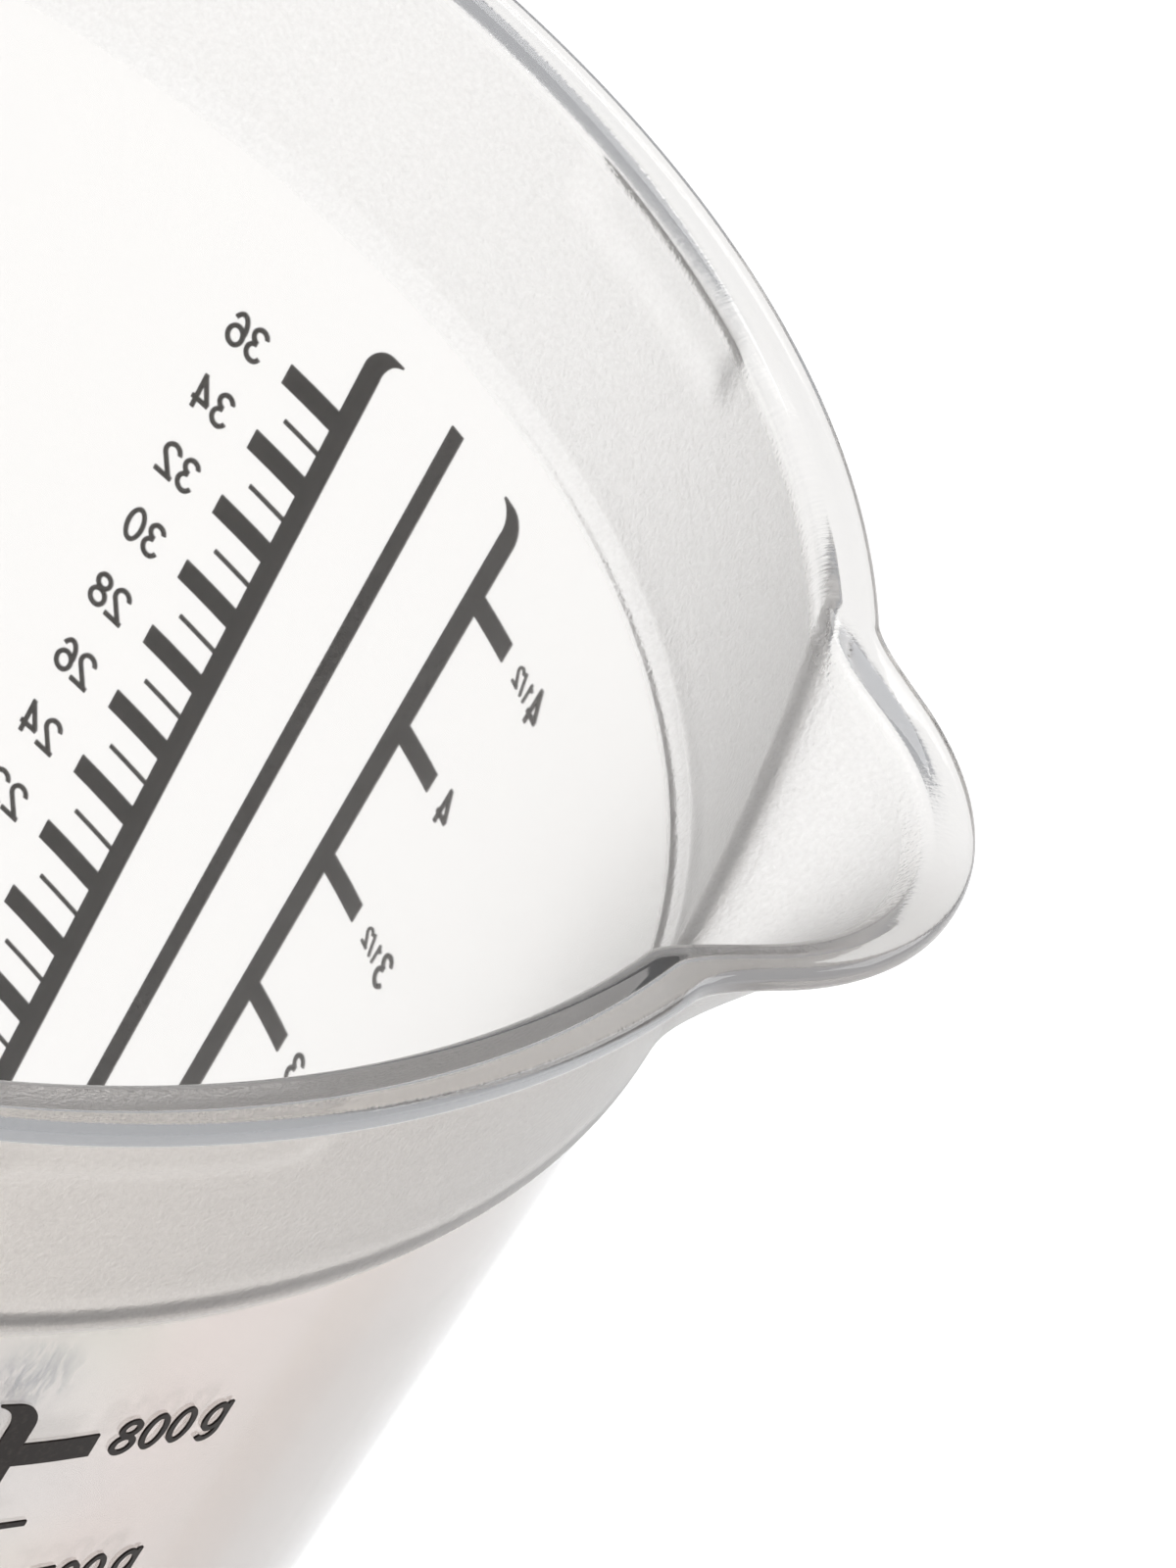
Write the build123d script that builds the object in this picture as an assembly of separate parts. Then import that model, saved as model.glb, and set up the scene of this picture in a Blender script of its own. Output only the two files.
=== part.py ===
from build123d import *
import os
from functools import lru_cache
from math import atan2, cos, degrees, pi, radians, sin, tan

# Graduated pouring cup of clear plastic, in millimetres and degrees.
# The cup's axis is Z, its base stands on Z = 0 and its spout points along +X.

# Moulded body
cup_height = 126.6
base_radius = 57.05
wall_thickness = 1.4
floor_thickness = 2.0
wall_draft = 3.68
base_corner_radius = 2.2
floor_corner_radius = 5.0

# Collar, the slightly wider band below the rim
collar_depth = 17.3
collar_overhang = 0.6
collar_draft = 3.4
shoulder_height = 1.2
inner_shoulder_rise = 0.6
inner_shoulder_radius = 0.2

# Rim flange
lip_overhang = 2.0
lip_thickness = 1.5
lip_edge_radius = 0.6
lip_inner_radius = 1.0

# Spout, a slanted cone that grows out of the collar
spout_reach = 7.15
spout_plan_radius = 19.85
spout_depth = 18.95
spout_apex_depth = 1.0
spout_lip_overhang = 1.0
spout_corner_radius = 3.9

# Snap ribs below the rim flange
rib_count = 4
first_rib_angle = 45.0
rib_arc_length = 17.4
rib_height = 0.45
rib_drop = 3.1
rib_chamfer = 0.8

# Printed scales on the outside of the body: two pairs, each with a divider between two rails
ink_thickness = 0.12
pen_reach = 1.0
rail_width = 1.5
divider_width = 1.2
rail_spacing_top = 7.6
rail_spacing_bottom = 6.05
rail_bottom_height = 10.4
rail_corner_radius = 1.7
rail_hook_length = 1.15
rail_hook_height = 1.9
rail_hook_tip = 0.12
rail_knee_out = 0.25
rail_knee_drop = 0.38
print_lean = 0.79
top_mark_drop = 3.7
mark_growth = 0.0145
kitchen_scale_angle = 51.12
kitchen_rail_drop = 3.75
ounce_tick_length = 4.4
cup_tick_length = 4.0
kitchen_tick_height = 1.4
odd_ounce_tick_length = 3.0
odd_ounce_tick_height = 0.28
kitchen_numeral_height = 2.4
ounce_numeral_gap = 1.95
cup_numeral_gap = 1.6
fraction_height = 1.35
fraction_gap = 0.35
metric_scale_angle = -51.12
metric_rail_drop = 4.85
metric_tick_length = 4.5
metric_tick_height = 1.6
half_tick_length = 3.1
half_tick_height = 0.38
metric_numeral_height = 2.62
metric_numeral_gap = 1.15
metric_numeral_rise = 0.15
unit_space = 0.75

# Letter shapes, as shares of the numeral height
glyph_width = 0.585
glyph_stroke = 0.13
glyph_gap = 0.085

# What the scales count, in millilitres and grams
ounce = 29.5735
half_cup = 4 * ounce
dry_goods_density = 0.743
first_ounce_count = 4
metric_count = 100

draft_slope = tan(radians(wall_draft))
collar_slope = tan(radians(collar_draft))
collar_bottom = cup_height - collar_depth
collar_edge = collar_bottom + shoulder_height
lip_underside = cup_height - lip_thickness
kitchen_rail_top = collar_bottom - kitchen_rail_drop
metric_rail_top = collar_bottom - metric_rail_drop


def body_radius(z):
    """Outer radius of the tapered body at a height."""
    return base_radius + draft_slope * z


def collar_radius(z):
    """Outer radius of the collar at a height."""
    return body_radius(collar_bottom) + collar_overhang + collar_slope * (z - collar_edge)


lip_radius = collar_radius(cup_height) + lip_overhang
floor_radius = body_radius(floor_thickness) - wall_thickness
spout_centre = lip_radius + spout_reach - spout_plan_radius
spout_apex_height = cup_height - spout_depth


def fill_height(volume):
    """Height of the level that a volume in millilitres reaches in the tapered body."""
    cubic_millimetres = 1000 * volume
    swept = 3 * draft_slope * cubic_millimetres / pi + floor_radius**3
    return floor_thickness + (swept ** (1 / 3) - floor_radius) / draft_slope


def levels(first, step, measure, rail_top):
    """Numbers of a scale, in steps from the first to the last whose level lies below the rail's top."""
    numbers = []
    number = first
    while fill_height(number * measure) < rail_top - top_mark_drop:
        numbers.append(number)
        number += step
    return numbers


def turned(points, corners=()):
    """Solid of revolution about Z from points (radius, height), with some corners rounded."""
    section = make_face(Plane.XZ * Polyline(*points, close=True))
    for x, z, radius in corners:
        corner = section.vertices().sort_by_distance((x, 0, z))[0]
        section = fillet(corner, radius)
    return revolve(section, Axis.Z)


def spout_cone(inset, top):
    """Slanted cone of the spout, from its point in the wall up to a height."""
    apex_x = body_radius(spout_apex_height) - inset - spout_apex_depth
    rise = cup_height - spout_apex_height
    grow = (top - spout_apex_height) / rise
    radius = (spout_plan_radius - spout_lip_overhang - inset) * grow
    centre_x = apex_x + (spout_centre - apex_x) * grow
    base = Pos(centre_x, 0, top) * Circle(radius)
    return loft([base.face(), Vertex(apex_x, 0, spout_apex_height)])


def make_lip():
    """Flange round the rim and the spout, with rounded outer edges."""
    plan = Circle(lip_radius) + Pos(spout_centre, 0) * Circle(spout_plan_radius)
    corners = [v for v in plan.vertices() if v.X > spout_centre and abs(v.Y) > lip_edge_radius]
    plan = fillet(corners, spout_corner_radius)
    flange = extrude(Pos(0, 0, lip_underside) * plan, lip_thickness)
    rims = flange.edges().filter_by(lambda e: abs(e.bounding_box().size.Z) < lip_edge_radius)
    return fillet(rims, lip_edge_radius)


def make_rib(angle):
    """Short bead below the flange that a lid snaps over."""
    root = collar_radius(lip_underside) - wall_thickness / 2
    crest = collar_radius(lip_underside) + rib_height
    crest_bottom = lip_underside - rib_drop
    bottom = crest_bottom - rib_chamfer
    section = make_face(
        Plane.XZ
        * Polyline(
            (root, lip_underside),
            (crest, lip_underside),
            (crest, crest_bottom),
            (collar_radius(bottom), bottom),
            (root, bottom),
            close=True,
        )
    )
    sweep_angle = degrees(rib_arc_length / collar_radius(lip_underside))
    bead = revolve(section, Axis.Z, revolution_arc=sweep_angle)
    return Rot(0, 0, angle - sweep_angle / 2) * bead


def make_cup_body():
    outside = turned(
        [
            (0, 0),
            (base_radius, 0),
            (body_radius(collar_bottom), collar_bottom),
            (collar_radius(collar_edge), collar_edge),
            (collar_radius(lip_underside), lip_underside),
            (0, lip_underside),
        ],
        [
            (base_radius, 0, base_corner_radius),
            (collar_radius(collar_edge), collar_edge, shoulder_height / 2),
        ],
    )
    outside += spout_cone(0, lip_underside)
    outside += make_lip()
    for index in range(rib_count):
        outside += make_rib(first_rib_angle + index * 360 / rib_count)
    above_rim = cup_height + lip_thickness
    inner_foot = collar_bottom + inner_shoulder_rise
    inner_edge = collar_edge + inner_shoulder_rise
    hollow = turned(
        [
            (0, floor_thickness),
            (floor_radius, floor_thickness),
            (body_radius(inner_foot) - wall_thickness, inner_foot),
            (collar_radius(inner_edge) - wall_thickness, inner_edge),
            (collar_radius(above_rim) - wall_thickness, above_rim),
            (0, above_rim),
        ],
        [
            (floor_radius, floor_thickness, floor_corner_radius),
            (collar_radius(inner_edge) - wall_thickness, inner_edge, inner_shoulder_radius),
        ],
    )
    hollow += spout_cone(wall_thickness, above_rim)
    body = outside - hollow
    mouth = body.faces().sort_by(Axis.Z)[-1]
    return fillet(mouth.inner_wires()[0].edges(), lip_inner_radius)


def stroke(*points):
    """Straight pen strokes through points, in shares of the numeral height."""
    return trace(Polyline(*points), glyph_stroke)


def bow(x, y, x_radius, y_radius, start, size):
    """Curved pen stroke along part of an ellipse."""
    return trace(EllipticalCenterArc((x, y), x_radius, y_radius, start, arc_size=size), glyph_stroke)


def ring(x, y, x_radius, y_radius):
    """Closed oval pen stroke."""
    half = glyph_stroke / 2
    outer = Ellipse(x_radius + half, y_radius + half)
    return Pos(x, y) * (outer - Ellipse(x_radius - half, y_radius - half))


@lru_cache(maxsize=None)
def glyph(letter):
    """One character of unit height that stands on the line Y = 0, from X = 0."""
    edge = glyph_stroke / 2
    middle = glyph_width / 2
    right = glyph_width - edge
    top = 1 - edge
    arm = middle - edge
    if letter == "0":
        return ring(middle, 0.5, arm, top - 0.5)
    if letter == "1":
        return stroke((middle, 0), (middle, 1)) + stroke((0.04, 0.76), (middle, 0.87))
    if letter == "2":
        crown = bow(middle, 0.71, arm, top - 0.71, 170, -205)
        slant = stroke((right - 0.03, 0.6), (edge + 0.03, edge))
        return crown + slant + stroke((0, edge), (glyph_width, edge))
    if letter == "3":
        upper = bow(middle, 0.74, arm - 0.02, top - 0.74, 165, -255)
        lower = bow(middle, 0.29, arm, 0.29 - edge, 90, -255)
        return upper + lower
    if letter == "4":
        stem = right - 0.07
        slant = stroke((stem, top), (edge, 0.28))
        return slant + stroke((stem, 0), (stem, 1)) + stroke((edge / 2, 0.28), (glyph_width, 0.28))
    if letter == "5":
        flag = stroke((0.1, top), (right, top)) + stroke((0.13, 1), (0.09, 0.45))
        return flag + bow(middle, 0.33, arm, 0.33 - edge, 145, -300)
    if letter == "6":
        bowl = ring(middle, 0.32, arm, 0.32 - edge)
        return bowl + bow(middle, 0.5, arm, top - 0.5, 35, 150)
    if letter == "7":
        return stroke((0, top), (right, top)) + stroke((right - edge, top), (0.2, 0))
    if letter == "8":
        return ring(middle, 0.285, arm, 0.285 - edge) + ring(middle, 0.745, arm - 0.03, top - 0.745)
    if letter == "9":
        return Pos(glyph_width, 1) * Rot(0, 0, 180) * glyph("6")
    if letter == "/":
        return stroke((0, 0), (glyph_width * 0.6, 1))
    if letter == "g":
        bowl = ring(middle, 0.46, arm, 0.33)
        tail = bow(middle, 0.06, arm, 0.22, 0, -150)
        return bowl + stroke((right, 0.84), (right, 0.05)) + tail
    if letter == "m":
        arch = bow(middle, 0.53, arm, 0.2, 0, 180)
        hump = arch + stroke((right, 0), (right, 0.55))
        return stroke((edge, 0), (edge, 0.76)) + hump + Pos(2 * arm, 0) * hump
    if letter == "L":
        return stroke((edge, 0), (edge, 1)) + stroke((0, edge), (glyph_width * 0.9, edge))
    raise ValueError(letter)


def glyph_advance(letter):
    """Step to the next character, as a share of the numeral height."""
    width = {"/": glyph_width * 0.6, "m": 2 * glyph_width - glyph_stroke}.get(letter, glyph_width)
    return width + glyph_gap


def text_width(text, height):
    """Length of a row of characters, which is nothing for an empty one."""
    return height * max(sum(glyph_advance(letter) for letter in text) - glyph_gap, 0)


def on_body(angle, z):
    """Plane that touches the body's outside, with X round the cup and Y up its wall."""
    radius = body_radius(z)
    turn = radians(angle)
    lean = atan2(draft_slope, 1)
    outward = (cos(lean) * cos(turn), cos(lean) * sin(turn), -sin(lean))
    return Plane((radius * cos(turn), radius * sin(turn), z), (-sin(turn), cos(turn), 0), outward)


def ink_sheet():
    """Thin sleeve round the body, as thick as the ink."""
    low = base_corner_radius
    high = collar_bottom
    return turned(
        [
            (body_radius(low), low),
            (body_radius(low) + ink_thickness, low),
            (body_radius(high) + ink_thickness, high),
            (body_radius(high), high),
        ]
    )


sleeve = ink_sheet()


def printed(plane, faces):
    """Faces drawn on a plane that touches the body, as ink on the body."""
    solids = []
    for face in faces:
        solids += (extrude(plane * face, pen_reach, both=True) & sleeve).solids()
    return solids


def along_cup(angle, offset, z):
    """Angle on the body that lies an arc length to the right of another."""
    return angle + degrees(offset / body_radius(z))


def write(text, height, angle, left, z):
    """Row of characters round the body, from an arc length left of an angle, centred on a height."""
    solids = []
    for letter in text:
        half_width = height * (glyph_advance(letter) - glyph_gap) / 2
        spot = on_body(along_cup(angle, left + half_width, z), z)
        shape = Pos(-half_width, -height / 2) * scale(glyph(letter), by=height, about=(0, 0, 0))
        solids += extrude(spot * shape, ink_thickness).solids()
        left += height * glyph_advance(letter)
    return solids


def line_angle(scale_angle, rail_top, side, z):
    """Angle of the divider (side 0) or of the left (-1) or right (1) rail of a pair at a height."""
    length = rail_top - rail_bottom_height
    share = (z - rail_bottom_height) / length
    spacing = rail_spacing_bottom + share * (rail_spacing_top - rail_spacing_bottom)
    lean = (share - 0.5) * length * tan(radians(print_lean))
    return along_cup(scale_angle, side * spacing + lean, z)


def print_line(scale_angle, rail_top, side, face):
    """Upright face that starts at the origin, laid along the divider or a rail of a pair."""
    low = line_angle(scale_angle, rail_top, side, rail_bottom_height)
    high = line_angle(scale_angle, rail_top, side, rail_top)
    middle = (low + high) / 2
    low_x = radians(low - middle) * body_radius(rail_bottom_height)
    high_x = radians(high - middle) * body_radius(rail_top)
    tilt = degrees(atan2(low_x - high_x, rail_top - rail_bottom_height))
    leaning = Pos(low_x, 0) * Rot(0, 0, tilt) * face
    return printed(on_body(middle, rail_bottom_height), leaning.faces())


def print_rail(scale_angle, rail_top, side):
    """Long rail of a scale, whose top hooks towards the divider."""
    half = rail_width / 2
    length = (rail_top - rail_bottom_height) / cos(radians(wall_draft))
    hook_base = length - rail_hook_height
    tip = (half + rail_hook_length, length - rail_hook_tip)
    knee = (half + rail_knee_out * rail_hook_length, length - rail_knee_drop * rail_hook_height)
    outline = [
        Polyline((half, hook_base), (half, 0), (-half, 0), (-half, length - rail_corner_radius)),
        RadiusArc(
            (-half, length - rail_corner_radius), (rail_corner_radius - half, length), rail_corner_radius
        ),
        Polyline((rail_corner_radius - half, length), (tip[0], length), tip),
        ThreePointArc(tip, knee, (half, hook_base)),
    ]
    face = make_face(outline)
    if side > 0:
        face = mirror(face, Plane.YZ)
    return print_line(scale_angle, rail_top, side, face)


def print_divider(scale_angle, rail_top):
    """Plain line that parts the two scales of a pair."""
    length = (rail_top - rail_bottom_height) / cos(radians(wall_draft))
    return print_line(scale_angle, rail_top, 0, Pos(0, length / 2) * Rectangle(divider_width, length))


def mark_end(side, tick_length, rail_top, z):
    """Arc length from a rail's middle to the outer end of a mark; lower marks are a little longer."""
    return side * (rail_width / 2 + tick_length + mark_growth * (rail_top - z))


def print_ticks(scale_angle, rail_top, side, volumes, length, height):
    """Marks that stand out from a rail at the levels of some volumes."""
    solids = []
    for volume in volumes:
        z = fill_height(volume)
        near_end = side * rail_width / 2
        far_end = mark_end(side, length, rail_top, z)
        angle = along_cup(line_angle(scale_angle, rail_top, side, z), (near_end + far_end) / 2, z)
        solids += printed(on_body(angle, z), Rectangle(abs(far_end - near_end), height).faces())
    return solids


def print_numerals(scale_angle, rail_top, side, labels, tick_length, height, gap, rise=0):
    """Numbers beside the ends of the marks; a label is a volume, a number, a fraction and a unit."""
    solids = []
    for volume, number, fraction, unit in labels:
        z = fill_height(volume)
        angle = line_angle(scale_angle, rail_top, side, z)
        fraction_start = text_width(number, height) + (fraction_gap if number else 0)
        fraction_end = fraction_start + text_width(fraction, fraction_height)
        number_end = fraction_end if fraction else text_width(number, height)
        total = number_end + (unit_space + text_width(unit, height) if unit else 0)
        near_end = mark_end(side, tick_length + gap, rail_top, z)
        left = near_end if side > 0 else near_end - total
        z += rise
        solids += write(number, height, angle, left, z)
        solids += write(fraction, fraction_height, angle, left + fraction_start, z)
        solids += write(unit, height, angle, left + number_end + unit_space, z)
    return solids


def cup_label(halves):
    """Number of a mark on the cups scale, split into its whole and its half."""
    whole = str(halves // 2) if halves > 1 else ""
    return (halves * half_cup, whole, "1/2" if halves % 2 else "", "")


def save(name, solids):
    """One node of the part, as a single solid or a group of separate ones."""
    shape = solids if isinstance(solids, (Part, Solid)) else Compound(children=list(solids))
    shape.label = name
    export_step(shape, f"parts/{name}.step")
    print(name, len(shape.solids()), round(shape.volume, 2))


os.makedirs("parts", exist_ok=True)
save("cup_body", make_cup_body())

left, right = -1, 1

kitchen = (kitchen_scale_angle, kitchen_rail_top)
save("kitchen_scale_divider", print_divider(*kitchen))
save("cups_rail", print_rail(*kitchen, left))
save("ounces_rail", print_rail(*kitchen, right))
cup_labels = [cup_label(halves) for halves in levels(1, 1, half_cup, kitchen_rail_top)]
cup_volumes = [label[0] for label in cup_labels]
save("cups_ticks", print_ticks(*kitchen, left, cup_volumes, cup_tick_length, kitchen_tick_height))
save(
    "cups_numerals",
    print_numerals(
        *kitchen, left, cup_labels, cup_tick_length, kitchen_numeral_height, cup_numeral_gap
    ),
)
even_ounces = levels(first_ounce_count, 2, ounce, kitchen_rail_top)
even_volumes = [n * ounce for n in even_ounces]
odd_volumes = [n * ounce for n in levels(first_ounce_count + 1, 2, ounce, kitchen_rail_top)]
save(
    "ounces_even_ticks",
    print_ticks(*kitchen, right, even_volumes, ounce_tick_length, kitchen_tick_height),
)
save(
    "ounces_odd_ticks",
    print_ticks(*kitchen, right, odd_volumes, odd_ounce_tick_length, odd_ounce_tick_height),
)
ounce_labels = [(n * ounce, str(n), "", "") for n in even_ounces]
save(
    "ounces_numerals",
    print_numerals(
        *kitchen, right, ounce_labels, ounce_tick_length, kitchen_numeral_height, ounce_numeral_gap
    ),
)

metric = (metric_scale_angle, metric_rail_top)
metric_writing = (metric_tick_length, metric_numeral_height, metric_numeral_gap, metric_numeral_rise)
save("metric_scale_divider", print_divider(*metric))
save("millilitres_rail", print_rail(*metric, left))
save("grams_rail", print_rail(*metric, right))
gram = 1 / dry_goods_density
half_count = metric_count // 2
gram_marks = levels(metric_count, metric_count, gram, metric_rail_top)
gram_volumes = [grams * gram for grams in gram_marks]
between_grams = levels(metric_count + half_count, metric_count, gram, metric_rail_top)
between_gram_volumes = [grams * gram for grams in between_grams]
save(
    "grams_ticks",
    print_ticks(*metric, right, gram_volumes, metric_tick_length, metric_tick_height),
)
save(
    "grams_half_ticks",
    print_ticks(*metric, right, between_gram_volumes, half_tick_length, half_tick_height),
)
gram_labels = [(grams * gram, str(grams), "", "g") for grams in gram_marks]
save("grams_numerals", print_numerals(*metric, right, gram_labels, *metric_writing))
millilitre_marks = levels(metric_count, metric_count, 1, metric_rail_top)
between_millilitres = levels(metric_count + half_count, metric_count, 1, metric_rail_top)
save(
    "millilitres_ticks",
    print_ticks(*metric, left, millilitre_marks, metric_tick_length, metric_tick_height),
)
save(
    "millilitres_half_ticks",
    print_ticks(*metric, left, between_millilitres, half_tick_length, half_tick_height),
)
millilitre_labels = [(n, str(n), "", "mL") for n in millilitre_marks]
save("millilitres_numerals", print_numerals(*metric, left, millilitre_labels, *metric_writing))
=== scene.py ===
import math

import bpy
import numpy as np
from mathutils import Matrix, Vector


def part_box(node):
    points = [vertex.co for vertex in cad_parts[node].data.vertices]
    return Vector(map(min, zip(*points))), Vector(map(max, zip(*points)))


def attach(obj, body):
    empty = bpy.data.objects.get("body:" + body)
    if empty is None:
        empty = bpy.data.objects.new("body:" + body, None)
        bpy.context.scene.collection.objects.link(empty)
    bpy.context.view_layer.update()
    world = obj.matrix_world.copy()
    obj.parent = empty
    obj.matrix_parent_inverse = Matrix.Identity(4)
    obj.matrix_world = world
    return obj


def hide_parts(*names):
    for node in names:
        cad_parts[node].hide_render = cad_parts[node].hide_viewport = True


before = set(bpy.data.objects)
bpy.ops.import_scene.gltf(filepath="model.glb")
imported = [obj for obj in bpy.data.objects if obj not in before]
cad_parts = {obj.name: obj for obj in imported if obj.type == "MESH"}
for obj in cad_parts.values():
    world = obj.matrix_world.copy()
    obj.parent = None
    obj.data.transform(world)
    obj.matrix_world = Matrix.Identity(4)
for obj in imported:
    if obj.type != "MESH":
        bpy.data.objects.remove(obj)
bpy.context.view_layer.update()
print("frame loaded")

mm = 0.001
cupLow, cupHigh = (np.array(corner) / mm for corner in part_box("cup_body"))

# The cup in millimetres. Its height, rim and spout reach come from the frame.
cup = {
    "wall": 1.4,
    "floor": 2.0,
    "draft": 3.68,
    "baseCorner": 2.2,
    "floorCorner": 5.0,
    "collarDepth": 17.3,
    "collarOverhang": 0.6,
    "collarDraft": 3.4,
    "shoulder": 1.2,
    "shoulderRound": 0.4,
    "innerShoulderRise": 0.6,
    "innerShoulderRound": 0.2,
    "lipOverhang": 2.0,
    "lipThickness": 1.5,
    "lipEdge": 0.6,
    "lipInner": 1.0,
    "underLip": 0.3,
    "spoutRadius": 19.85,
    "spoutDepth": 18.95,
    "spoutApexDepth": 1.0,
    "spoutLipOverhang": 1.0,
    "creaseLip": 2.6,
    "creaseOutside": 3.4,
    "creaseInside": 4.2,
    "ribCount": 4,
    "ribAngle": 45.0,
    "ribLength": 17.4,
    "ribHeight": 0.45,
    "ribDrop": 3.1,
    "ribChamfer": 0.8,
    "ribEnd": 1.6,
    "creaseLow": 0.25,
    "lipBlend": 1.5,
    "wallTolerance": 0.02,
    "shoulderFoot": 0.5,
    "poleRadius": 9.0,
    "inkClearance": 0.05,
    "columns": 520,
}

height = cupHigh[2]
lipRadius = -cupLow[0]
spoutCentre = cupHigh[0] - cup["spoutRadius"]
collarBottom = height - cup["collarDepth"]
collarEdge = collarBottom + cup["shoulder"]
lipUnderside = height - cup["lipThickness"]
apexHeight = height - cup["spoutDepth"]
draftSlope = math.tan(math.radians(cup["draft"]))
collarSlope = math.tan(math.radians(cup["collarDraft"]))


# Outer radius of the collar: a straight slope down from the rim
def collarRadius(z):
    return lipRadius - cup["lipOverhang"] - collarSlope * (height - z)


# Outer radius of the body: a straight slope down from the shoulder
def bodyRadius(z):
    shoulderFoot = collarRadius(collarEdge) - cup["collarOverhang"]
    return shoulderFoot - draftSlope * (collarBottom - z)


# Outer radius of the wall at any height: body, shoulder, collar
def wallRadius(z):
    across = np.clip((z - collarBottom) / cup["shoulder"], 0, 1)
    return bodyRadius(np.minimum(z, collarBottom)) * (1 - across) + collarRadius(z) * across


# A path of straight runs with round corners. Each corner is (radius, height, rounding, arc points,
# points on the run after it); an arc's centre lies on the bisector, its ends at r / tan(half angle).
def roundedPath(corners):
    points = []
    spots = [np.array(corner[:2], float) for corner in corners]
    for index, (x, z, rounding, arcPoints, runPoints) in enumerate(corners):
        here = spots[index]
        if rounding:
            back = spots[index - 1] - here
            ahead = spots[index + 1] - here
            back /= np.linalg.norm(back)
            ahead /= np.linalg.norm(ahead)
            bisector = (back + ahead) / np.linalg.norm(back + ahead)
            halfAngle = math.acos(np.clip(back @ bisector, -1, 1))
            centre = here + bisector * rounding / math.sin(halfAngle)
            start = here + back * rounding / math.tan(halfAngle)
            end = here + ahead * rounding / math.tan(halfAngle)
            first = math.atan2(*(start - centre)[::-1])
            turn = math.atan2(*(end - centre)[::-1]) - first
            turn = (turn + math.pi) % (2 * math.pi) - math.pi
            sweep = first + turn * np.linspace(0, 1, arcPoints)
            points.append(centre + rounding * np.stack([np.cos(sweep), np.sin(sweep)], 1))
        else:
            points.append(here[None])
        if index + 1 < len(corners) and runPoints:
            points.append((index, runPoints))
    solved = []
    for index, block in enumerate(points):
        if isinstance(block, tuple):
            start, end = points[index - 1][-1], points[index + 1][0]
            share = np.linspace(0, 1, block[1] + 2)[1:-1, None]
            block = start + (end - start) * share
        solved.append(block)
    return np.concatenate(solved)


# Angles in radians from the spout's middle, and how much denser the columns are there
columnValues = {
    "samples": 20001,
    "crease": 0.25,
    "creaseWidth": 0.09,
    "creaseGain": 4.0,
    "spout": 0.3,
    "spoutGain": 1.5,
}


# Columns round the cup, closer together where the spout turns out of the rim
def columnAngles(count):
    fine = np.linspace(-math.pi, math.pi, columnValues["samples"])
    fromCrease = (np.abs(fine) - columnValues["crease"]) / columnValues["creaseWidth"]
    density = 1 + columnValues["creaseGain"] * np.exp(-(fromCrease**2))
    density = density + columnValues["spoutGain"] * (np.abs(fine) < columnValues["spout"])
    total = np.concatenate([[0], np.cumsum((density[1:] + density[:-1]) / 2)])
    return np.interp(np.arange(count) / count, total / total[-1], fine)


# Larger of two values with a soft corner between them
def softLarger(a, b, softness):
    share = np.clip(0.5 + 0.5 * (a - b) / softness, 0, 1)
    return b + (a - b) * share + softness * share * (1 - share)


# How far the spout reaches from the cup's axis: the far side of a circle whose centre moves out
# from the wall and whose radius grows with the height, like a slanted cone. It is 0 below the
# spout's point and on the sides of the cup that face away from the spout.
def spoutReach(angle, z, extra):
    grow = np.clip((z - apexHeight) / cup["spoutDepth"], 0, None)
    apexX = bodyRadius(apexHeight) - cup["spoutApexDepth"]
    centre = apexX + (spoutCentre - apexX) * grow
    radius = (cup["spoutRadius"] - cup["spoutLipOverhang"]) * grow + extra
    inside = radius * np.abs(radius) - (centre * np.sin(angle)) ** 2
    reach = centre * np.cos(angle) + np.sign(inside) * np.sqrt(np.abs(inside))
    facesSpout = np.abs(angle) < math.pi / 3
    return np.where((z > apexHeight) & facesSpout, reach, 0)


# Share of a snap rib's height at a place on the collar: a flat crest under the lip with a slope
# below it, along an arc with soft ends
def ribShare(angle, z):
    spacing = 2 * math.pi / cup["ribCount"]
    fromMiddle = (angle - math.radians(cup["ribAngle"]) + spacing / 2) % spacing - spacing / 2
    arc = np.abs(fromMiddle) * collarRadius(lipUnderside)
    along = np.clip((cup["ribLength"] / 2 - arc) / cup["ribEnd"] + 0.5, 0, 1)
    crestBottom = lipUnderside - cup["ribDrop"]
    up = np.clip((z - crestBottom + cup["ribChamfer"]) / cup["ribChamfer"], 0, 1)
    return along * along * (3 - 2 * along) * up * up * (3 - 2 * up)


# A closed surface: rings of points round Z that follow a profile, with a point at each pole
def ringMesh(name, x, y, z, lowPole, highPole):
    rows, columns = x.shape
    points = np.stack([x, y, z], -1).reshape(-1, 3)
    points = np.concatenate([points, [lowPole, highPole]]) * mm
    ring = np.arange(rows * columns).reshape(rows, columns)
    beside = np.roll(ring, -1, axis=1)
    quads = np.stack([ring[:-1], beside[:-1], beside[1:], ring[1:]], -1).reshape(-1, 4)
    lowFan = np.stack([beside[0], ring[0], np.full(columns, rows * columns)], -1)
    highFan = np.stack([ring[-1], beside[-1], np.full(columns, rows * columns + 1)], -1)
    mesh = bpy.data.meshes.new(name)
    mesh.from_pydata(points, [], [*quads.tolist(), *lowFan.tolist(), *highFan.tolist()])
    mesh.polygons.foreach_set("use_smooth", np.ones(len(mesh.polygons), bool))
    mesh.update()
    made = bpy.data.objects.new(name, mesh)
    bpy.context.scene.collection.objects.link(made)
    return made


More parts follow.
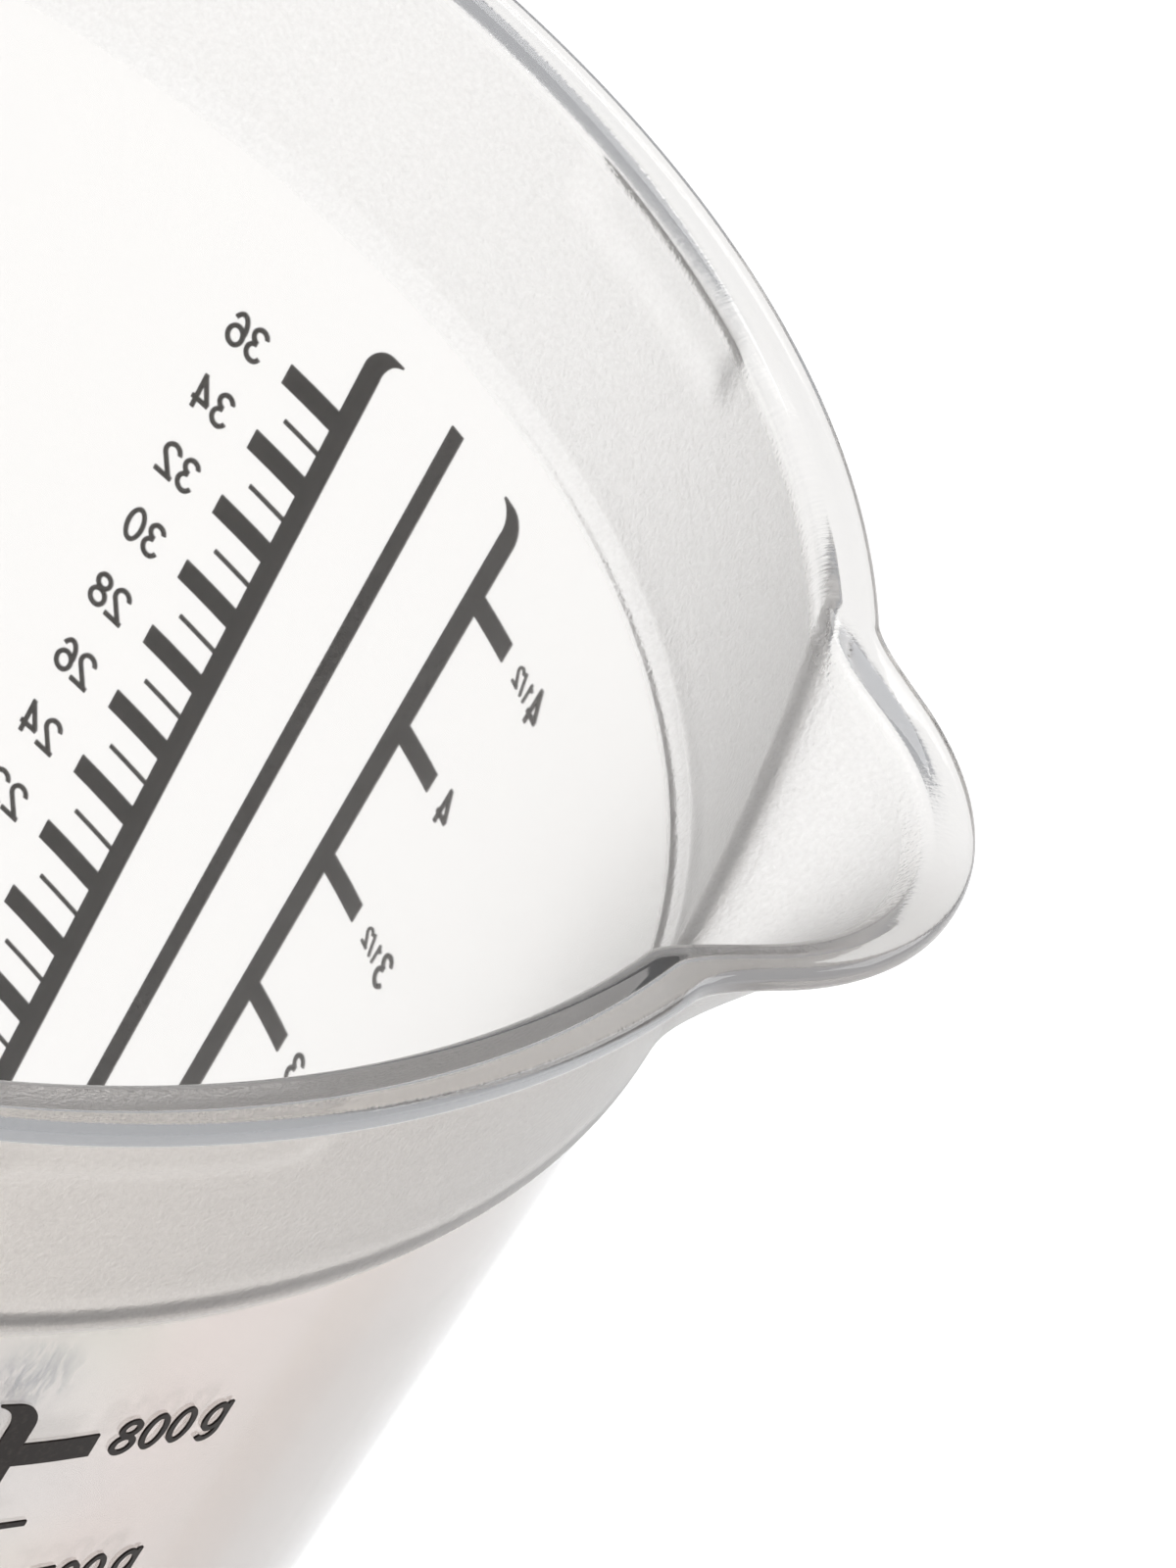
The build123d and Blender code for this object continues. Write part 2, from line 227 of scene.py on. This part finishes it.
# The cup's surface: a turned profile, pushed out to the spout's cone where that reaches farther.
# Rows of the lip take the cone at the rim's height, so the lip runs level round the spout.
def buildCup():
    wall = cup["wall"]
    top = height
    innerFoot = collarBottom + cup["innerShoulderRise"]
    innerEdge = collarEdge + cup["innerShoulderRise"]
    outline = [
        (cup["poleRadius"], 0, 0, 0, 5),
        (bodyRadius(0), 0, cup["baseCorner"], 9, 12),
        (bodyRadius(collarBottom), collarBottom, cup["shoulderFoot"], 4, 1),
        (collarRadius(collarEdge), collarEdge, cup["shoulderRound"], 6, 20),
        (collarRadius(lipUnderside), lipUnderside, cup["underLip"], 4, 1),
        (lipRadius, lipUnderside, cup["lipEdge"], 8, 1),
        (lipRadius, top, cup["lipEdge"], 8, 4),
        (collarRadius(top) - wall, top, cup["lipInner"], 12, 24),
        (collarRadius(innerEdge) - wall, innerEdge, cup["innerShoulderRound"], 5, 1),
        (bodyRadius(innerFoot) - wall, innerFoot, cup["innerShoulderRound"], 5, 12),
        (bodyRadius(cup["floor"]) - wall, cup["floor"], cup["floorCorner"], 10, 6),
        (cup["poleRadius"], cup["floor"], 0, 0, 0),
    ]
    path = roundedPath(outline)
    rows = len(path)
    angle = columnAngles(cup["columns"])[None]
    radius, z = path[:, :1], path[:, 1:]
    outside = np.arange(rows)[:, None] <= np.argmax(path[:, 1] >= top - 1e-6)
    proud = radius - wallRadius(z)
    lipShare = np.clip(cup["lipBlend"] * proud / cup["lipOverhang"], 0, 1)
    spoutZ = z + (top - z) * lipShare
    narrower = cup["lipOverhang"] - cup["spoutLipOverhang"]
    extra = radius - wallRadius(spoutZ) - narrower * lipShare
    grow = np.clip((spoutZ - apexHeight) / cup["spoutDepth"], 0, 1)
    crease = np.where(outside, cup["creaseOutside"], cup["creaseInside"])
    crease = crease + (cup["creaseLip"] - crease) * lipShare
    crease = crease * (cup["creaseLow"] + (1 - cup["creaseLow"]) * grow)
    onWall = np.abs(proud) < cup["wallTolerance"]
    shape = radius - cup["inkClearance"] * (onWall & (z < collarBottom))
    shape = shape + cup["ribHeight"] * ribShare(angle, z) * (onWall & (z > collarEdge))
    nearWall = z > apexHeight
    reach = np.where(nearWall, spoutReach(angle, spoutZ, extra), 0)
    shape = np.where(nearWall, softLarger(shape, reach, crease), shape)
    x, y = shape * np.cos(angle), shape * np.sin(angle)
    zGrid = np.broadcast_to(z, x.shape)
    return ringMesh("cup", x, y, zGrid, (0, 0, 0), (0, 0, cup["floor"]))


# A shader socket that can stand in sums; each sum adds Math nodes
class Wire:
    def __init__(self, tree, socket=None):
        self.tree = tree
        self.socket = socket

    # Adds a node: its type, its settings, and the values or links of its sockets
    def node(self, kind, settings=None, sockets=None, out=0):
        made = self.tree.nodes.new(kind)
        for key, value in (settings or {}).items():
            setattr(made, key, value)
        for key, value in (sockets or {}).items():
            if isinstance(value, Wire):
                self.tree.links.new(value.socket, made.inputs[key])
            else:
                made.inputs[key].default_value = value
        return Wire(self.tree, made.outputs[out] if made.outputs else None)

    # One Math node with this wire and the values as its inputs
    def maths(self, operation, *values):
        inputs = dict(enumerate((self, *values)))
        return self.node("ShaderNodeMath", {"operation": operation}, inputs)

    def __add__(self, other):
        return self.maths("ADD", other)

    def __sub__(self, other):
        return self.maths("SUBTRACT", other)

    def __rsub__(self, other):
        return self * -1 + other

    def __mul__(self, other):
        return self.maths("MULTIPLY", other)

    __radd__ = __add__
    __rmul__ = __mul__

    # 0 below the first value, 1 above the second, with a soft step between
    def step(self, low, high):
        settings = {"interpolation_type": "SMOOTHSTEP"}
        return self.node("ShaderNodeMapRange", settings, {0: self, 1: low, 2: high})

    def noise(self, scale, detail=2.0, roughness=0.5):
        sockets = {"Vector": self, "Scale": scale, "Detail": detail, "Roughness": roughness}
        return self.node("ShaderNodeTexNoise", None, sockets)

    def mixColour(self, first, second):
        sockets = {0: self, 6: first, 7: second}
        return self.node("ShaderNodeMix", {"data_type": "RGBA"}, sockets, out=2)


def newMaterial(name):
    material = bpy.data.materials.new(name)
    material.use_nodes = True
    material.node_tree.nodes.clear()
    start = Wire(material.node_tree)
    place = start.node("ShaderNodeTexCoord", out="Object")
    return material, place


plastic = {
    "refraction": 1.49,
    "farTint": (0.965, 0.95, 0.93, 1),
    # The near tint below is a warmer painted tint for the side towards -Y, which faces the camera
    "nearPaintedTint": (0.985, 0.935, 0.89, 1),
    "tintEdges": (-0.045, 0.01),
    # The pastel colours below are painted iridescent reflection for the body's side towards -Y
    "paintedIridescence": [(0.98, 0.955, 0.87, 1), (0.985, 0.865, 0.83, 1), (0.96, 0.915, 0.94, 1)],
    "pinkEdges": (-45.0, -37.0),
    "lilacEdges": (0.5, 0.7),
    "cloudShift": 14.0,
    "cloudMove": (0.3, 0.1, 0.2),
    "pastelScale": 26.0,
    "paintedIridescenceShare": 0.8,
    "stripeAzimuth": -25.62,
    "stripeWidth": 4.0,
    "stripeSoft": 1.6,
    "stripeShare": 0.9,
    "stripeColour": (0.93, 0.82, 0.76, 1),
    "scuffPlace": (0.0456, -0.0447, 0.1062),
    "scuffEdges": (0.001, 0.0036),
    "scuffScale": 900.0,
    "scuffStretch": (1, 1, 0.3),
    "streakEdges": (0.42, 0.56),
    "scuffShare": 0.5,
    "scuffColour": (0.2, 0.25, 0.3, 1),
    "collarFade": (-0.3, 0.8),
    "lipFade": (-0.6, 0.2),
    "insideEdges": (-0.0001, 0.0001),
    "milk": 0.075,
    "milkColour": (0.34, 0.31, 0.29, 1),
    "collarMilk": 0.085,
    "lipMilk": 0.09,
    # The spout-lip share below is grey milk on the lip's half towards -Y, which faces the camera:
    # partly the lip's own milk, the rest painted shade
    "spoutLipMilkAndShade": 0.26,
    "spoutLipFrom": (0.061, 0.067),
    "spoutLipSide": (-0.006, 0.006),
    "outerRoughness": 0.05,
    "innerRoughness": 0.2,
    "collarRoughness": 0.32,
    "grainScale": 3400.0,
    "grainStrength": 0.6,
    "grainDepth": 0.0001,
    "grainMilk": 0.22,
    "depthColour": (0.58, 0.6, 0.62, 1),
    "depthDensity": 28.0,
}


# Clear plastic: light passes with a slight tint, a share of it is scattered as by milk, and long
# ways through it are darker. The collar and the spout have a fine grain. Below the lip, the side
# towards -Y, which faces the camera, gets a warmer painted tint. The body below the shoulder is
# smooth; on its side towards -Y it has pastel clouds that are painted iridescent reflection, a
# beige stripe and a small scuff. The spout lip's half towards -Y gets more grey milk as painted
# shade.
def makePlastic():
    material, place = newMaterial("clearPlastic")
    split = place.node("ShaderNodeSeparateXYZ", None, {0: place})
    x, y, z = (Wire(split.tree, split.socket.node.outputs[axis]) for axis in "XYZ")
    radius = (x * x + y * y).maths("SQRT")
    onCollar = z.step(*((collarBottom + edge) * mm for edge in plastic["collarFade"]))
    onLip = z.step(*((lipUnderside + edge) * mm for edge in plastic["lipFade"]))
    grainy = onCollar * (1 - onLip)
    middle = (bodyRadius(0) - cup["wall"] / 2) * mm
    inside = (middle + draftSlope * z - radius).step(*plastic["insideEdges"])

    grain = place.noise(plastic["grainScale"], 2.0, 0.6)
    bump = place.node(
        "ShaderNodeBump",
        None,
        {
            "Strength": plastic["grainStrength"],
            "Distance": plastic["grainDepth"],
            "Height": grain * grainy,
        },
    )
    smooth = plastic["outerRoughness"] + inside * (
        plastic["innerRoughness"] - plastic["outerRoughness"]
    )
    roughness = smooth + grainy * (plastic["collarRoughness"] - smooth)

    clouds = place.noise(plastic["pastelScale"])
    moved = place.node(
        "ShaderNodeMapping", None, {"Vector": place, "Location": plastic["cloudMove"]}
    )
    cloudsToo = moved.noise(plastic["pastelScale"])
    azimuth = y.maths("ARCTAN2", x) * math.degrees(1)
    shifted = azimuth + (clouds - 0.5) * plastic["cloudShift"]
    # Painted iridescent reflection: pastel clouds, yellow turning pink with azimuth, with lilac
    # patches
    yellow, pink, lilac = plastic["paintedIridescence"]
    iridescentSheen = shifted.step(*plastic["pinkEdges"]).mixColour(yellow, pink)
    iridescentSheen = cloudsToo.step(*plastic["lilacEdges"]).mixColour(iridescentSheen, lilac)
    # Painted tint: below the lip, the side towards -Y, which faces the camera, is tinted warmer than
    # the far side
    near = (1 - y.step(*plastic["tintEdges"])) * (1 - onLip)
    onBody = near * (1 - onCollar)
    tint = near.mixColour(plastic["farTint"], plastic["nearPaintedTint"])
    tint = (plastic["paintedIridescenceShare"] * onBody).mixColour(tint, iridescentSheen)

    offStripe = (azimuth - plastic["stripeAzimuth"]).maths("ABSOLUTE")
    halfStripe = plastic["stripeWidth"] / 2
    stripe = 1 - offStripe.step(halfStripe, halfStripe + plastic["stripeSoft"])
    tint = (stripe * onBody * plastic["stripeShare"]).mixColour(tint, plastic["stripeColour"])

    fromScuff = place.node(
        "ShaderNodeVectorMath",
        {"operation": "DISTANCE"},
        {0: place, 1: plastic["scuffPlace"]},
        out=1,
    )
    stretched = place.node(
        "ShaderNodeMapping", None, {"Vector": place, "Scale": plastic["scuffStretch"]}
    )
    streaks = stretched.noise(plastic["scuffScale"], 3.0, 0.7)
    scuff = (1 - fromScuff.step(*plastic["scuffEdges"])) * streaks.step(*plastic["streakEdges"])
    tint = (scuff * plastic["scuffShare"]).mixColour(tint, plastic["scuffColour"])
    clear = place.node(
        "ShaderNodeBsdfPrincipled",
        None,
        {
            "Base Color": tint,
            "Roughness": roughness,
            "IOR": plastic["refraction"],
            "Transmission Weight": 1.0,
            "Normal": bump,
        },
    )
    milky = place.node("ShaderNodeBsdfTranslucent", None, {"Color": plastic["milkColour"]})
    share = plastic["milk"] + onCollar * (plastic["collarMilk"] - plastic["milk"])
    share = share + onLip * (plastic["lipMilk"] - plastic["collarMilk"])
    # Painted shade: the spout lip's half towards -Y, which faces the camera, takes more grey milk so
    # it reads darker
    nearSpoutLipShade = onLip * x.step(*plastic["spoutLipFrom"]) * (1 - y.step(*plastic["spoutLipSide"]))
    share = share + nearSpoutLipShade * (plastic["spoutLipMilkAndShade"] - plastic["lipMilk"])
    share = share + grainy * (grain - 0.5) * plastic["grainMilk"]
    both = place.node("ShaderNodeMixShader", None, {0: share, 1: clear, 2: milky})
    depth = place.node(
        "ShaderNodeVolumeAbsorption",
        None,
        {"Color": plastic["depthColour"], "Density": plastic["depthDensity"]},
    )
    place.node("ShaderNodeOutputMaterial", None, {"Surface": both, "Volume": depth})
    return material


inkValues = {
    "colour": (0.016, 0.011, 0.009, 1),
    "worn": (0.035, 0.027, 0.022, 1),
    "roughness": 0.5,
    "shine": 0.2,
    "speckScale": 2500.0,
    "wornEdges": (0.45, 0.75),
    "bumpStrength": 0.3,
    "bumpDepth": 0.00002,
    "unevenness": 0.1,
}


# Printed ink: nearly black brown, slightly uneven where it covers thinly
def makeInk():
    material, place = newMaterial("ink")
    specks = place.noise(inkValues["speckScale"], 3.0, 0.6)
    colour = specks.step(*inkValues["wornEdges"]).mixColour(inkValues["colour"], inkValues["worn"])
    bump = place.node(
        "ShaderNodeBump",
        None,
        {
            "Strength": inkValues["bumpStrength"],
            "Distance": inkValues["bumpDepth"],
            "Height": specks,
        },
    )
    ink = place.node(
        "ShaderNodeBsdfPrincipled",
        None,
        {
            "Base Color": colour,
            "Roughness": inkValues["roughness"] + specks * inkValues["unevenness"],
            "Specular IOR Level": inkValues["shine"],
            "Normal": bump,
        },
    )
    place.node("ShaderNodeOutputMaterial", None, {"Surface": ink})
    return material


studio = {
    "floorSize": 6.0,
    "floorGlow": 0.97,
    "floorColour": (0.2, 0.2, 0.2, 1),
    "floorRoughness": 0.9,
    "surround": (0.45, 0.47, 0.5, 1),
    "surroundStrength": 1.15,
    "lights": [
        {"name": "overhead", "place": (-0.5, 0.2, 1.2), "size": 0.9, "power": 9.0},
        {"name": "behind", "place": (1.35, 0.75, 0.9), "size": 0.8, "power": 7.0},
    ],
}


# A large pale floor that glows a little, a grey surround and two soft lamps
def makeStudio():
    half = studio["floorSize"] / 2
    mesh = bpy.data.meshes.new("floor")
    corners = [(x * half, y * half, 0) for x, y in ((-1, -1), (1, -1), (1, 1), (-1, 1))]
    mesh.from_pydata(corners, [], [(0, 1, 2, 3)])
    floor = bpy.data.objects.new("floor", mesh)
    bpy.context.scene.collection.objects.link(floor)
    material, place = newMaterial("paleFloor")
    paper = place.node(
        "ShaderNodeBsdfPrincipled",
        None,
        {
            "Base Color": studio["floorColour"],
            "Roughness": studio["floorRoughness"],
            "Emission Color": (1, 1, 1, 1),
            "Emission Strength": studio["floorGlow"],
        },
    )
    place.node("ShaderNodeOutputMaterial", None, {"Surface": paper})
    mesh.materials.append(material)

    world = bpy.data.worlds.new("studio")
    bpy.context.scene.world = world
    world.use_nodes = True
    background = world.node_tree.nodes["Background"]
    background.inputs[0].default_value = studio["surround"]
    background.inputs[1].default_value = studio["surroundStrength"]
    for values in studio["lights"]:
        lamp = bpy.data.lights.new(values["name"], "AREA")
        lamp.shape = "SQUARE"
        lamp.size = values["size"]
        lamp.energy = values["power"]
        made = bpy.data.objects.new(values["name"], lamp)
        made.location = values["place"]
        aim = Vector((0, 0, height * mm)) - made.location
        made.rotation_euler = aim.to_track_quat("-Z", "Y").to_euler()
        bpy.context.scene.collection.objects.link(made)


# Camera above and in front of the cup, tipped down and rolled so that the cup leans to the right
cameraValues = {
    "place": (0.05531, -0.33347, 0.34095),
    "pitchDown": 33.38,
    "roll": 28.25,
    "lens": 179.88,
    "sensor": 36.0,
    "nearest": 0.01,
}


def makeCamera():
    lensData = bpy.data.cameras.new("camera")
    lensData.lens = cameraValues["lens"]
    lensData.sensor_width = cameraValues["sensor"]
    lensData.clip_start = cameraValues["nearest"]
    made = bpy.data.objects.new("camera", lensData)
    tilt = Matrix.Rotation(math.radians(90 - cameraValues["pitchDown"]), 4, "X")
    roll = Matrix.Rotation(math.radians(cameraValues["roll"]), 4, "Z")
    made.matrix_world = Matrix.Translation(cameraValues["place"]) @ tilt @ roll
    bpy.context.scene.collection.objects.link(made)
    bpy.context.scene.camera = made


makeCamera()
makeStudio()
print("studio ready")

cupPiece = buildCup()
cupPiece.data.materials.append(makePlastic())
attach(cupPiece, "root")
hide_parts("cup_body")
print("cup built:", len(cupPiece.data.polygons), "faces")

ink = makeInk()
for name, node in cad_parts.items():
    if name != "cup_body":
        for slot in node.material_slots:
            slot.material = ink
print("ink done")

bounces = {"max_bounces": 24, "transmission_bounces": 24, "transparent_max_bounces": 16}
scene = bpy.context.scene
scene.view_settings.view_transform = "Standard"
for name, count in bounces.items():
    setattr(scene.cycles, name, count)
